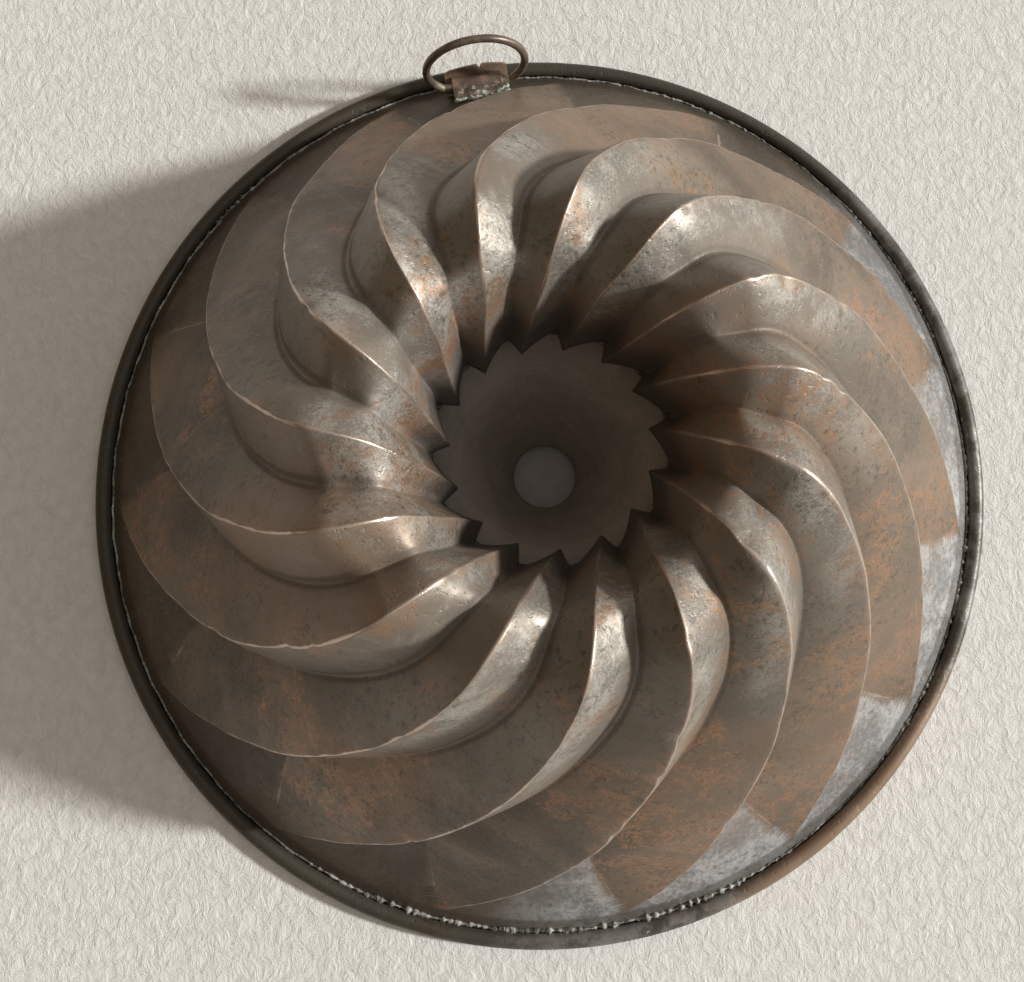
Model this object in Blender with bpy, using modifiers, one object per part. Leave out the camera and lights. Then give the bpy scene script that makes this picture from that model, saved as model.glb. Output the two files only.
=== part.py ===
"""Turks head cake mould: a fluted copper ring mould with a central chimney and a hanging ring.

The mould lies rim down, as it is stored. +Z is up out of the crown, z = 0 is the plane under the rim bead,
and the Z axis is the mould's own axis. The hanging ring is on the +Y side. Lengths are in metres.
"""

import math

import bmesh
import bpy
from mathutils import Matrix, Vector

# Sheet and rim bead
RIM_RADIUS = 0.120
SHEET = 0.0008
RIM_WIRE_RADIUS = 0.0010
WIRE_SLACK = 0.0005
WIRE_SIDES = 6
FLAT_DEPTH = 0.0002
CURL_START = 162.0
CURL_END = -131.0
GAP = 0.0003
WELD = 1e-6

# Body: each line of the sheet is drawn in the plane of radius and height
HEIGHT = 0.1012
WALL_FOOT_Z = 0.0043
CREST_RADIUS = 0.0461
LIP_RADIUS = 0.0221
LIP_WAVE = 0.0046
LIP_HEIGHT = 0.0637
RIDGE_LINE = {
    "slope": 57.0,
    "wall": 0.0435,
    "crest": (CREST_RADIUS, HEIGHT),
    "shoulder": 0.0138,
    "brow": 0.0125,
    "throat": 0.0313,
    "lip": (LIP_RADIUS, LIP_HEIGHT),
}
VALLEY_LINE = {
    "slope": 41.0,
    "wall": 0.0485,
    "crest": (0.0437, 0.0935),
    "shoulder": 0.0128,
    "brow": 0.0095,
    "throat": 0.0390,
    "lip": (LIP_RADIUS + LIP_WAVE, LIP_HEIGHT),
}
THROAT_SLOPE = 77.6

# Flutes: they lean over fast at the rim, and sweep counter-clockwise all the way to the lip. The steep
# face's share of the pitch starts near nothing at the rim and passes half over the crown.
FLUTES = 15
FIRST_FLUTE = -17.5
SWEEP = (0.0, 30.7, 36.2, 67.0)
STEEP_SHARE = (0.02, 0.12, 1.15, 0.04)
LEAST_STEEP = 0.16
VALLEY_FLOOR = 0.05
FOLD_BACK = 5.5
FOLD_SWEEP = 18.5

# Grid of the sheet
CURL_ROWS = 7
WALL_ROWS = 13
THROAT_ROWS = 8
STEEP_COLUMNS = 2
FACE_COLUMNS = 3
COLUMNS = STEEP_COLUMNS + 1 + FACE_COLUMNS

# Chimney tube
TUBE_SHEET = 0.0012
TUBE_FOOT = 0.004
HOLE_RADIUS = 0.0083
COLLAR_TOP = 0.0687
COLLAR_FLARE = 0.0021
TUBE_SIDES = 60
TUBE_SOLDER_DROP = 0.0008
TUBE_SOLDER_DEPTH = 0.0011
TUBE_SOLDER_WIDTH = 0.0013

# Hanging ring and its lug
RING_OUTER = 0.0295
RING_WIRE_RADIUS = 0.0011
RING_STRAIGHT = 0.0190
RING_STAND = 86.0
RING_POINTS = 26
LUG_UP_WALL = 0.0042
LUG_OFF_WALL = 0.0030
LUG_SHEET = 0.0009
LUG_BORE = 0.0015
LUG_LENGTH = 0.0140
LUG_BACK_LENGTH = 0.0176
LUG_BACK_REACH = 0.0038
LUG_FOOT = 0.0045
LUG_ARCH_STEPS = 6
LUG_SOLDER_LENGTH = 0.0130
LUG_SOLDER_WIDTH = 0.0015
LUG_SOLDER_EDGE = 0.0002
NOTCH_WIDTH = 0.0014
NOTCH_DEPTH = 0.0011
NOTCH_OFFSET = 0.0012

BEAD_RADIUS = RIM_WIRE_RADIUS + WIRE_SLACK + SHEET
BEAD_CENTRE = (RIM_RADIUS - BEAD_RADIUS, BEAD_RADIUS - FLAT_DEPTH)
CURL_RADIUS = BEAD_RADIUS - SHEET


def clear_scene():
    for old in list(bpy.data.objects):
        bpy.data.objects.remove(old, do_unlink=True)


def new_collection(name):
    made = bpy.data.collections.new(name)
    bpy.context.scene.collection.children.link(made)
    return made


def new_material(name, colour, roughness, metallic):
    made = bpy.data.materials.new(name)
    made.use_nodes = True
    shader = made.node_tree.nodes["Principled BSDF"]
    shader.inputs["Base Color"].default_value = (*colour, 1.0)
    shader.inputs["Roughness"].default_value = roughness
    shader.inputs["Metallic"].default_value = metallic
    return made


def add_object(name, data, collection, material):
    made = bpy.data.objects.new(name, data)
    collection.objects.link(made)
    data.materials.append(material)
    return made


def smooth(mesh, angle=35.0):
    mesh.shade_smooth()
    mesh.set_sharp_from_angle(angle=math.radians(angle))


def bezier(points, u):
    p0, p1, p2, p3 = points
    return p0 * (1 - u) ** 3 + p1 * 3 * u * (1 - u) ** 2 + p2 * 3 * u * u * (1 - u) + p3 * u**3


def wall_foot():
    """Where the wall leaves the bead's seam, on the line that runs tangent into the curl."""
    turn = math.radians(CURL_END)
    radius = BEAD_CENTRE[0] + CURL_RADIUS * math.cos(turn)
    height = BEAD_CENTRE[1] + CURL_RADIUS * math.sin(turn)
    wall = math.radians(VALLEY_LINE["slope"])
    return Vector((radius - (WALL_FOOT_Z - height) / math.tan(wall), WALL_FOOT_Z))


def wall_line(line):
    """The outer stretch, from the rim up the wall to the crest."""
    foot = wall_foot()
    slope = math.radians(line["slope"])
    crest = Vector(line["crest"])
    rise = foot + line["wall"] * Vector((-math.cos(slope), math.sin(slope)))
    return foot, rise, crest + Vector((line["shoulder"], 0)), crest


def throat_line(line):
    """The inner stretch, from the crest down the funnel to the lip."""
    crest = Vector(line["crest"])
    lip = Vector(line["lip"])
    slope = math.radians(THROAT_SLOPE)
    rise = lip + line["throat"] * Vector((math.cos(slope), math.sin(slope)))
    return crest, crest - Vector((line["brow"], 0)), rise, lip


def line_points(line):
    wall = [bezier(wall_line(line), i / WALL_ROWS) for i in range(WALL_ROWS + 1)]
    throat = [bezier(throat_line(line), i / THROAT_ROWS) for i in range(1, THROAT_ROWS + 1)]
    return wall + throat


def run_lengths(points):
    """Share of the line's length that lies before each point."""
    lengths = [0.0]
    for a, b in zip(points, points[1:]):
        lengths.append(lengths[-1] + (b - a).length)
    return [length / lengths[-1] for length in lengths]


def columns_of(share):
    """(place, height) of one flute's columns: place is the share of the pitch from the ridge before it, and
    height runs from the valley line, 0, to the ridge line, 1."""
    sweep = bezier(SWEEP, share)
    steep = max(bezier(STEEP_SHARE, share), LEAST_STEEP * share)
    fold = 1 - (sweep + FOLD_BACK * min(sweep / FOLD_SWEEP, 1)) * FLUTES / 360
    face = max(fold, steep + VALLEY_FLOOR)
    drop = [i / STEEP_COLUMNS for i in range(STEEP_COLUMNS)]
    rise = [i / FACE_COLUMNS for i in range(FACE_COLUMNS)]
    return (
        [(steep * i, 1 - i) for i in drop]
        + [(steep, 0)]
        + [(face + (1 - face) * i, i) for i in rise]
    )


def even_columns():
    return [(i / COLUMNS, 0) for i in range(COLUMNS)]


def sheet_rows():
    """Every row of the sheet, from the curl's free edge to the lip, as (radius, height, angle) points."""
    rows = []
    for i in range(CURL_ROWS):
        turn = math.radians(CURL_START + (CURL_END - CURL_START) * i / (CURL_ROWS - 1))
        radius = BEAD_CENTRE[0] + CURL_RADIUS * math.cos(turn)
        height = BEAD_CENTRE[1] + CURL_RADIUS * math.sin(turn)
        rows.append([(radius, height, place - 1) for place, _ in even_columns()])
    ridge = line_points(RIDGE_LINE)
    valley = line_points(VALLEY_LINE)
    for high, low, share in zip(ridge, valley, run_lengths(ridge)):
        columns = columns_of(share) if share else even_columns()
        turned = bezier(SWEEP, share) * FLUTES / 360
        row = []
        for place, height in columns:
            point = low.lerp(high, height)
            row.append((point.x, point.y, place - 1 + turned))
        rows.append(row)
    return rows


def point_at(radius, azimuth, height):
    turn = math.radians(azimuth)
    return Vector((radius * math.cos(turn), radius * math.sin(turn), height))


def fluted_sheet():
    """One surface for the whole sheet: a grid whose points are set row by row, joined where it closes."""
    rows = sheet_rows()
    around = COLUMNS * FLUTES
    up = len(rows) - 1
    bm = bmesh.new()
    bmesh.ops.create_grid(bm, x_segments=around, y_segments=up, size=1.0)
    for vert in bm.verts:
        column = round((vert.co.x + 1) / 2 * around)
        row = round((vert.co.y + 1) / 2 * up)
        flute, column = divmod(column, COLUMNS)
        radius, height, place = rows[row][column]
        vert.co = point_at(radius, FIRST_FLUTE + (flute + place) * 360 / FLUTES, height)
    bmesh.ops.remove_doubles(bm, verts=bm.verts, dist=WELD)
    bmesh.ops.recalc_face_normals(bm, faces=bm.faces)
    face = max(bm.faces, key=lambda f: f.calc_center_median().z)
    if face.normal.z < 0:
        bmesh.ops.reverse_faces(bm, faces=bm.faces)
    mesh = bpy.data.meshes.new("fluted_shell")
    bm.to_mesh(mesh)
    bm.free()
    smooth(mesh)
    return mesh


def add_cutter(name, size, centre, collection):
    bpy.ops.mesh.primitive_cube_add(size=1, location=centre)
    cutter = bpy.context.object
    cutter.name = name
    cutter.scale = size
    bpy.ops.object.transform_apply(location=False, rotation=False, scale=True)
    for owner in list(cutter.users_collection):
        owner.objects.unlink(cutter)
    collection.objects.link(cutter)
    cutter.hide_render = True
    cutter.display_type = "WIRE"
    return cutter


def add_boolean(body, other, operation):
    cut = body.modifiers.new(operation.lower(), "BOOLEAN")
    cut.operation = operation
    cut.solver = "EXACT"
    cut.object = other
    return cut


def make_shell(parts, cutters):
    """The raised copper sheet, from the rolled bead to the funnel's lip, with a flat under the bead."""
    copper = new_material("aged_copper", (0.30, 0.20, 0.14), 0.45, 1.0)
    shell = add_object("fluted_shell", fluted_sheet(), parts, copper)
    skin = shell.modifiers.new("sheet", "SOLIDIFY")
    skin.thickness = SHEET
    skin.offset = -1
    skin.use_even_offset = True
    skin.use_quality_normals = True
    side = 3 * RIM_RADIUS
    floor = add_cutter("bead_flat_cutter", (side, side, side), (0, 0, -side / 2), cutters)
    add_boolean(shell, floor, "DIFFERENCE")
    return shell


def make_rim_wire(parts):
    """The iron wire that the rim is rolled round."""
    iron = new_material("rim_iron", (0.20, 0.17, 0.15), 0.6, 1.0)
    bpy.ops.mesh.primitive_torus_add(
        major_radius=BEAD_CENTRE[0],
        minor_radius=RIM_WIRE_RADIUS,
        major_segments=COLUMNS * FLUTES,
        minor_segments=WIRE_SIDES,
        location=(0, 0, BEAD_CENTRE[1]),
        rotation=(0, 0, math.radians(FIRST_FLUTE)),
    )
    wire = bpy.context.object
    wire.name = "rim_wire"
    wire.data.name = "rim_wire"
    for owner in list(wire.users_collection):
        owner.objects.unlink(wire)
    parts.objects.link(wire)
    wire.data.materials.append(iron)
    smooth(wire.data)
    return wire


def turned(name, profile, sides, parts, material):
    """A turned piece from a closed profile of (radius, height) points, outer side first, top to bottom."""
    mesh = bpy.data.meshes.new(name)
    bm = bmesh.new()
    verts = [bm.verts.new((radius, 0, height)) for radius, height in profile]
    for a, b in zip(verts, verts[1:] + verts[:1]):
        bm.edges.new((a, b))
    bm.to_mesh(mesh)
    bm.free()
    piece = add_object(name, mesh, parts, material)
    screw = piece.modifiers.new("turn", "SCREW")
    screw.axis = "Z"
    screw.steps = sides
    screw.render_steps = sides
    screw.use_merge_vertices = True
    screw.merge_threshold = WELD
    screw.use_smooth_shade = True
    return piece


def collar_radius():
    """Inner radius of the tube level with the lip, clear of the lip's outer side."""
    return VALLEY_LINE["lip"][0] + SHEET + GAP


def make_chimney(parts):
    """The tapered tube, whose flared collar laps the outside of the funnel's lip."""
    copper = new_material("tube_copper", (0.16, 0.12, 0.10), 0.5, 1.0)
    neck = collar_radius()
    flare = neck + COLLAR_FLARE
    profile = [
        (flare + TUBE_SHEET, COLLAR_TOP),
        (neck + TUBE_SHEET, LIP_HEIGHT),
        (HOLE_RADIUS + TUBE_SHEET, TUBE_FOOT),
        (HOLE_RADIUS, TUBE_FOOT),
        (neck, LIP_HEIGHT),
        (flare, COLLAR_TOP),
    ]
    return turned("chimney_tube", profile, TUBE_SIDES, parts, copper)


def make_chimney_solder(parts):
    """The ring of solder under the lip, where it meets the tube."""
    solder = new_material("old_solder", (0.33, 0.34, 0.31), 0.6, 1.0)
    outer = collar_radius() - 2 * GAP
    inner = outer - TUBE_SOLDER_WIDTH
    top = LIP_HEIGHT - TUBE_SOLDER_DROP
    profile = [(outer, top), ((outer + inner) / 2, top - TUBE_SOLDER_DEPTH), (inner, top)]
    return turned("chimney_solder", profile, TUBE_SIDES, parts, solder)


def wall_frame():
    """Axes at the ring's pivot: along the rim, up the wall and away from it, and the pivot itself."""
    foot = wall_foot()
    slope = math.radians(VALLEY_LINE["slope"])
    up = Vector((0, -math.cos(slope), math.sin(slope)))
    away = Vector((0, math.sin(slope), math.cos(slope)))
    pivot = Vector((0, foot.x, foot.y)) + LUG_UP_WALL * up + LUG_OFF_WALL * away
    return up, away, pivot


def extruded(name, outline, length, placing, parts, material):
    """A flat outline extruded evenly both ways, as a mesh object."""
    curve = bpy.data.curves.new(name, "CURVE")
    curve.dimensions = "2D"
    curve.fill_mode = "BOTH"
    curve.extrude = length / 2
    spline = curve.splines.new("POLY")
    spline.points.add(len(outline) - 1)
    for point, (x, y) in zip(spline.points, outline):
        point.co = (x, y, 0, 1)
    spline.use_cyclic_u = True
    flat = bpy.data.objects.new(name + "_outline", curve)
    bpy.context.scene.collection.objects.link(flat)
    flat.matrix_world = placing
    return mesh_from_curve(name, flat, parts, material)


def mesh_from_curve(name, source, parts, material):
    """A mesh object in the curve's place, with its loose caps welded on."""
    bpy.context.view_layer.update()
    graph = bpy.context.evaluated_depsgraph_get()
    mesh = bpy.data.meshes.new_from_object(source.evaluated_get(graph))
    mesh.name = name
    mesh.materials.clear()
    bm = bmesh.new()
    bm.from_mesh(mesh)
    bmesh.ops.remove_doubles(bm, verts=bm.verts, dist=WELD)
    bmesh.ops.recalc_face_normals(bm, faces=bm.faces)
    bm.to_mesh(mesh)
    bm.free()
    made = add_object(name, mesh, parts, material)
    made.matrix_world = source.matrix_world
    bpy.data.objects.remove(source, do_unlink=True)
    return made


def lug_strap_outline():
    """The strap over the wire, in the plane (up the wall, away from it): back leaf, arch and foot."""
    outer = LUG_BORE + LUG_SHEET
    base = GAP - LUG_OFF_WALL
    foot = base + LUG_SHEET
    back = -LUG_BORE - LUG_SHEET / 2
    inside = -LUG_BORE - LUG_SHEET / 4
    bend = LUG_SHEET / 3
    turns = [math.radians(90 * (1 - i / LUG_ARCH_STEPS)) for i in range(LUG_ARCH_STEPS + 1)]
    over = [(outer * math.cos(turn), outer * math.sin(turn)) for turn in turns]
    under = [(LUG_BORE * math.cos(turn), LUG_BORE * math.sin(turn)) for turn in reversed(turns)]
    return (
        [(back, base + bend), (back, outer)]
        + over
        + [(outer, foot + bend), (outer + bend, foot), (LUG_FOOT, foot)]
        + [(LUG_FOOT, base), (outer - bend, base), (LUG_BORE, base + 2 * bend)]
        + under
        + [(bend - LUG_BORE, LUG_BORE), (bend - LUG_BORE, LUG_BORE - LUG_SHEET)]
        + [(inside, LUG_BORE - LUG_SHEET), (inside, base + bend)]
    )


def lug_back_outline():
    """The back leaf, in the plane (along the rim, away from the wall), with the nick in its free edge."""
    half = LUG_BACK_LENGTH / 2
    base = GAP - LUG_OFF_WALL
    top = LUG_BACK_REACH
    nick = NOTCH_WIDTH / 2
    return [
        (-half, base),
        (half, base),
        (half, top),
        (NOTCH_OFFSET + nick, top),
        (NOTCH_OFFSET, top - NOTCH_DEPTH),
        (NOTCH_OFFSET - nick, top),
        (-half, top),
    ]


def make_lug(parts, cutters):
    """The folded copper lug: an arched strap joined to a longer back leaf, open towards the wall."""
    copper = new_material("lug_copper", (0.26, 0.17, 0.12), 0.5, 1.0)
    up, away, pivot = wall_frame()
    along = up.cross(away)
    section = Matrix((up, away, along)).transposed().to_4x4()
    strap_place = Matrix.Translation(pivot) @ section
    strap = extruded("ring_lug", lug_strap_outline(), LUG_LENGTH, strap_place, parts, copper)
    leaf_axes = Matrix((Vector((1, 0, 0)), away, Vector((1, 0, 0)).cross(away))).transposed()
    middle = pivot - up * (LUG_BORE + LUG_SHEET / 2)
    leaf_place = Matrix.Translation(middle) @ leaf_axes.to_4x4()
    leaf = extruded("lug_back_leaf", lug_back_outline(), LUG_SHEET, leaf_place, cutters, copper)
    leaf.hide_render = True
    leaf.display_type = "WIRE"
    add_boolean(strap, leaf, "UNION")
    return strap


def make_lug_solder(parts):
    """The solder run along the lug's foot, on the wall."""
    solder = new_material("green_solder", (0.30, 0.38, 0.33), 0.7, 0.6)
    up, away, pivot = wall_frame()
    base = GAP - LUG_OFF_WALL
    start = LUG_FOOT + GAP
    end = start + LUG_SOLDER_WIDTH
    outline = [
        (start, base),
        (start, base + LUG_SHEET),
        ((2 * start + end) / 3, base + LUG_SHEET - LUG_SOLDER_EDGE),
        (end, base + LUG_SOLDER_EDGE),
        (end, base),
    ]
    section = Matrix((up, away, up.cross(away))).transposed().to_4x4()
    placing = Matrix.Translation(pivot) @ section
    return extruded("lug_solder", outline, LUG_SOLDER_LENGTH, placing, parts, solder)


def ring_points():
    """The ring's centre line in its own plane: round, with a straight run in the lug, along y = 0."""
    radius = RING_OUTER / 2 - RING_WIRE_RADIUS
    rise = math.sqrt(radius**2 - (RING_STRAIGHT / 2) ** 2)
    start = math.atan2(-rise, RING_STRAIGHT / 2)
    end = math.pi - start
    points = []
    for i in range(RING_POINTS):
        turn = start + (end - start) * i / (RING_POINTS - 1)
        points.append((radius * math.cos(turn), rise + radius * math.sin(turn), 0.0))
    return points


def make_ring(parts):
    """The brass wire ring, with its origin on the pivot, standing at its angle above the table."""
    brass = new_material("ring_brass", (0.34, 0.24, 0.16), 0.4, 1.0)
    curve = bpy.data.curves.new("hanging_ring", "CURVE")
    curve.dimensions = "3D"
    curve.bevel_depth = RING_WIRE_RADIUS
    curve.bevel_resolution = 2
    spline = curve.splines.new("POLY")
    points = ring_points()
    spline.points.add(len(points) - 1)
    for point, place in zip(spline.points, points):
        point.co = (*place, 1)
    spline.use_cyclic_u = True
    spline.use_smooth = True
    ring = add_object("hanging_ring", curve, parts, brass)
    ring.location = wall_frame()[2]
    ring.rotation_euler = (math.radians(RING_STAND), 0, 0)
    return ring


def main():
    clear_scene()
    parts = new_collection("turks_head_cake_mould")
    cutters = new_collection("cutters")
    cutters.hide_render = True
    make_shell(parts, cutters)
    make_rim_wire(parts)
    make_chimney(parts)
    make_chimney_solder(parts)
    make_lug(parts, cutters)
    make_lug_solder(parts)
    make_ring(parts)


main()
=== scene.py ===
"""Looks of the Turk's head cake mould: a raised copper sheet with a worn brown patina, and a hanging ring.

The crown is up, the rim bead lies on z = 0 and the hanging ring is on the +Y side. Lengths are in metres, and
a distance kept on the sheet's points, for wear and dirt, is in millimetres.
"""

import math
import random

import bpy
import numpy as np
from mathutils import Matrix, Vector

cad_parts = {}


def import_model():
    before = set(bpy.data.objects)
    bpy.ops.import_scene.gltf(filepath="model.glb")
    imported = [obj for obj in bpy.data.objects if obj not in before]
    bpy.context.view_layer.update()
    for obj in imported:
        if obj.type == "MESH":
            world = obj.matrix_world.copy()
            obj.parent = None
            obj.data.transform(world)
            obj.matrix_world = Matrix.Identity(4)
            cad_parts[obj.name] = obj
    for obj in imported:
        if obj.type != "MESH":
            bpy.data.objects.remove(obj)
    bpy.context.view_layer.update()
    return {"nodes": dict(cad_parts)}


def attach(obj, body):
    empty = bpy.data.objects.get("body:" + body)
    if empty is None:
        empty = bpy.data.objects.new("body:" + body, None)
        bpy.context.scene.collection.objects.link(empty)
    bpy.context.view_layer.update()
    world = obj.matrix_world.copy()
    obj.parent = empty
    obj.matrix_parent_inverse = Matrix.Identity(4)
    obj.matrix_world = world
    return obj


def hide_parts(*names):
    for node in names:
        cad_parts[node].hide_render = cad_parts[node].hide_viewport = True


# Sheet and rim bead
RIM_RADIUS = 0.120
SHEET = 0.0008
BEAD_RADIUS = 0.00215
BEAD_SINK = 0.0002
BEAD_CENTRE = (RIM_RADIUS - BEAD_RADIUS, BEAD_RADIUS - BEAD_SINK)
CURL_RADIUS = BEAD_RADIUS - SHEET
CURL_START = 165.0
CURL_END = -128.0
WIRE_RADIUS = 0.0011
GAP = 0.0003

# Body lines, in the plane of radius and height
WALL_FOOT = (0.11288, 0.0043)
LIP_RADIUS = 0.0221
LIP_WAVE = 0.0046
LIP_HEIGHT = 0.0637
THROAT_SLOPE = 77.6
RIDGE_LINE = {
    "slope": 57.0,
    "wall": 0.0435,
    "crest": (0.0461, 0.1012),
    "shoulder": 0.0138,
    "brow": 0.0125,
    "throat": 0.0313,
    "lip": (LIP_RADIUS, LIP_HEIGHT),
}
VALLEY_LINE = {
    "slope": 41.0,
    "wall": 0.0485,
    "crest": (0.0437, 0.0935),
    "shoulder": 0.0128,
    "brow": 0.0095,
    "throat": 0.0390,
    "lip": (LIP_RADIUS + LIP_WAVE, LIP_HEIGHT),
}

# Flutes
FLUTES = 15
FIRST_FLUTE = -17.5
SWEEP = (0.0, 30.7, 36.2, 67.0)
STEEP_SHARE = (0.02, 0.12, 1.15, 0.04)
LEAST_STEEP = 0.16
VALLEY_FLOOR = 0.02
FOLD_BACK = 5.5
FOLD_SWEEP = 18.5
FACE_BULGE = 0.07
STEEP_HOLLOW = 0.05

# Grid of the sheet
CURL_ROWS = 20
FOOT_ROWS = 6
RIM_ROWS = CURL_ROWS + FOOT_ROWS
WALL_ROWS = 110
THROAT_ROWS = 64
STEEP_COLUMNS = 8
FLOOR_COLUMNS = 10
FACE_COLUMNS = 13
COLUMNS = STEEP_COLUMNS + FLOOR_COLUMNS + FACE_COLUMNS
AROUND = COLUMNS * FLUTES
END_CROWDING = 0.62

# Rounding of valleys and ridges, with reaches in columns
SOFTEN_STEPS = 9
VALLEY_SOFTENING = 0.9
VALLEY_REACH = 1.6
RIDGE_SOFTENING = 0.3
RIDGE_REACH = 1.1

# Hand-made unevenness of the sheet, and the height that it stays under
HEIGHT = 0.1012
HEIGHT_ROOM = 0.0008
WOBBLE = 0.00022
WOBBLE_RUN = 40
SIDE_SEED = 300
LIFT_SEED = 500
SWELL = 0.00020
BROAD_SWELL = 0.030
FINE_SWELL = 0.011
FINE_SHARE = 0.35
NICKS = 60
NICK_PLACE = (0.12, 0.8)
NICK_REACH = (0.0009, 0.0022)
NICK_DEPTH = (0.00015, 0.00060)

# What the distance to a ridge or valley is set to on the rim, in millimetres
FAR = 50.0

# Crust in the seam over the bead, and where it is thick: middle and reach in degrees, and strength
SEAM_POINTS = 2400
SEAM_PLACE = (0.1153, 0.0024)
SEAM_THIN = 0.00024
SEAM_THICK = 0.00050
SEAM_RUNS = ((-98, 34, 1.0), (-28, 26, 0.65), (20, 16, 0.5), (62, 22, 0.3), (126, 14, 0.55))

# Hanging ring and its lug
RING_OUTER = 0.0295
RING_WIRE_RADIUS = 0.0011
RING_STRAIGHT = 0.0190
RING_STAND = 86.0
RING_ARC_STEPS = 131
RING_STRAIGHT_STEPS = 30
RING_SIDES = 16
LUG_UP_WALL = 0.0042
LUG_OFF_WALL = 0.0030
LUG_SHEET = 0.0009
LUG_BORE = 0.0015
LUG_LENGTH = 0.0140
LUG_BACK_LENGTH = 0.0176
LUG_BACK_REACH = 0.0050
LUG_FOOT = 0.0031
EDGE_WEAR = 0.00010
NOTCH_WIDTH = 0.0014
NOTCH_DEPTH = 0.0011
NOTCH_OFFSET = 0.0012

# Solder at the lug and at the lip: height over the wall, run and radius
CRUST_LIFT = 0.00035
FOOT_RUN = 0.0134
FOOT_CRUST = 0.00075
END_FROM = -0.0016
END_RUN = 0.0060
END_CRUST = 0.00070
LIP_CRUST = 0.00078
LIP_CRUST_IN = 0.0011
LIP_CRUST_DOWN = 0.0008


# Lines of the sheet


def bezier(points, u):
    p0, p1, p2, p3 = points
    return p0 * (1 - u) ** 3 + p1 * 3 * u * (1 - u) ** 2 + p2 * 3 * u * u * (1 - u) + p3 * u**3


def smoothstep(low, high, value):
    t = np.clip((value - low) / (high - low), 0, 1)
    return t * t * (3 - 2 * t)


def line_points(line):
    """Points of one line of the sheet, (radius, height), from the wall's foot over the crest to the lip."""
    foot = np.array(WALL_FOOT)
    crest = np.array(line["crest"])
    lip = np.array(line["lip"])
    slope = math.radians(line["slope"])
    rise = foot + line["wall"] * np.array([-math.cos(slope), math.sin(slope)])
    throat = math.radians(THROAT_SLOPE)
    entry = lip + line["throat"] * np.array([math.cos(throat), math.sin(throat)])
    up = np.linspace(0, 1, WALL_ROWS + 1)[:, None]
    down = np.linspace(0, 1, THROAT_ROWS + 1)[1:, None]
    outside = bezier((foot, rise, crest + np.array([line["shoulder"], 0]), crest), up)
    inside = bezier((crest, crest - np.array([line["brow"], 0]), entry, lip), down)
    return np.vstack([outside, inside])


def run_shares(points):
    lengths = np.hypot(*np.diff(points, axis=0).T)
    run = np.concatenate([[0], np.cumsum(lengths)])
    return run / run[-1]


def eased(count):
    """Even steps from 0 up to but not including 1, drawn closer together near both ends."""
    t = np.arange(count) / count
    return t - END_CROWDING * np.sin(2 * math.pi * t) / (2 * math.pi)


def drift(seed, along, most_rate):
    """A smooth wandering value, about -1 to 1, along a line."""
    source = random.Random(seed)
    total = 0
    weight = 0
    for _ in range(6):
        rate = source.uniform(0.25, most_rate)
        phase = source.uniform(0, 2 * math.pi)
        share = source.uniform(0.5, 1)
        total = total + share * np.sin(rate * along + phase)
        weight += share
    return total / weight * 1.6


def swell(points, seed, size):
    """A smooth wandering value, about -1 to 1, over points in space, with features of the given size."""
    source = random.Random(seed)
    total = np.zeros(points.shape[:-1])
    for _ in range(14):
        way = np.array([source.gauss(0, 1) for _ in range(3)])
        way *= source.uniform(0.6, 1.7) / (size * np.linalg.norm(way)) * math.pi
        total += np.sin(points @ way + source.uniform(0, 2 * math.pi))
    return total / 3.2


# Meshes


def circle_point(radius, turn, level):
    return Vector((radius * math.cos(turn), radius * math.sin(turn), level))


def mesh_object(name, verts, faces, smooth=True):
    mesh = bpy.data.meshes.new(name)
    mesh.from_pydata([tuple(v) for v in verts], [], [tuple(int(i) for i in f) for f in faces])
    mesh.update()
    if smooth:
        mesh.shade_smooth()
    made = bpy.data.objects.new(name, mesh)
    bpy.context.scene.collection.objects.link(made)
    return made


def keep_values(mesh, name, values):
    layer = mesh.attributes.new(name, "FLOAT", "POINT")
    layer.data.foreach_set("value", np.asarray(values, np.float32).ravel())


def grid_faces(rows, columns, offset=0, flip=False):
    """Quads of a grid that closes round on itself, as index rows."""
    row = np.arange(rows - 1)[:, None] * columns
    here = np.arange(columns)[None, :]
    after = (here + 1) % columns
    corners = [row + here, row + after, row + columns + after, row + columns + here]
    if flip:
        corners = corners[::-1]
    return np.stack(corners, -1).reshape(-1, 4) + offset


def surface_normals(points):
    """Unit normals of a closed-round grid of points, out of the crown's side."""
    around = np.roll(points, -1, 1) - np.roll(points, 1, 1)
    along = np.gradient(points, axis=0)
    normals = np.cross(around, along)
    length = np.linalg.norm(normals, axis=-1, keepdims=True)
    return normals / np.maximum(length, 1e-12)


def flute_columns(share, steep, face):
    """Place across the pitch of each column of one flute, row by row: even at the rim, then drawn to the
    flute's own corners, which lie at the shares steep and face of the pitch."""
    drop = eased(STEEP_COLUMNS)
    floor = np.arange(FLOOR_COLUMNS) / FLOOR_COLUMNS
    rise = eased(FACE_COLUMNS)
    place = np.concatenate([steep * drop, steep + (face - steep) * floor, face + (1 - face) * rise], 1)
    even = np.arange(COLUMNS)[None, :] / COLUMNS
    plain = 1 - smoothstep(0.0, 0.05, share)
    return place + (even - place) * plain


def ridge_wobble(share, at):
    """How far each ridge strays sideways and in height, fading to nothing half a flute away."""
    wander = np.zeros((len(share), AROUND))
    lift = np.zeros((len(share), AROUND))
    along = share * WOBBLE_RUN
    for number in range(FLUTES + 1):
        side = drift(SIDE_SEED + number % FLUTES, along, 1.3) * WOBBLE
        rise = drift(LIFT_SEED + number % FLUTES, along, 1.2) * WOBBLE * 0.8
        near = np.clip(1 - np.abs(at - number) * 2, 0, 1)
        wander = wander + near * side
        lift = lift + near * rise
    return wander, lift


def curl_turns():
    """Angles of the rolled rim's rows round the bead, as a column."""
    return np.radians(np.linspace(CURL_START, CURL_END, CURL_ROWS))[:, None]


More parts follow.
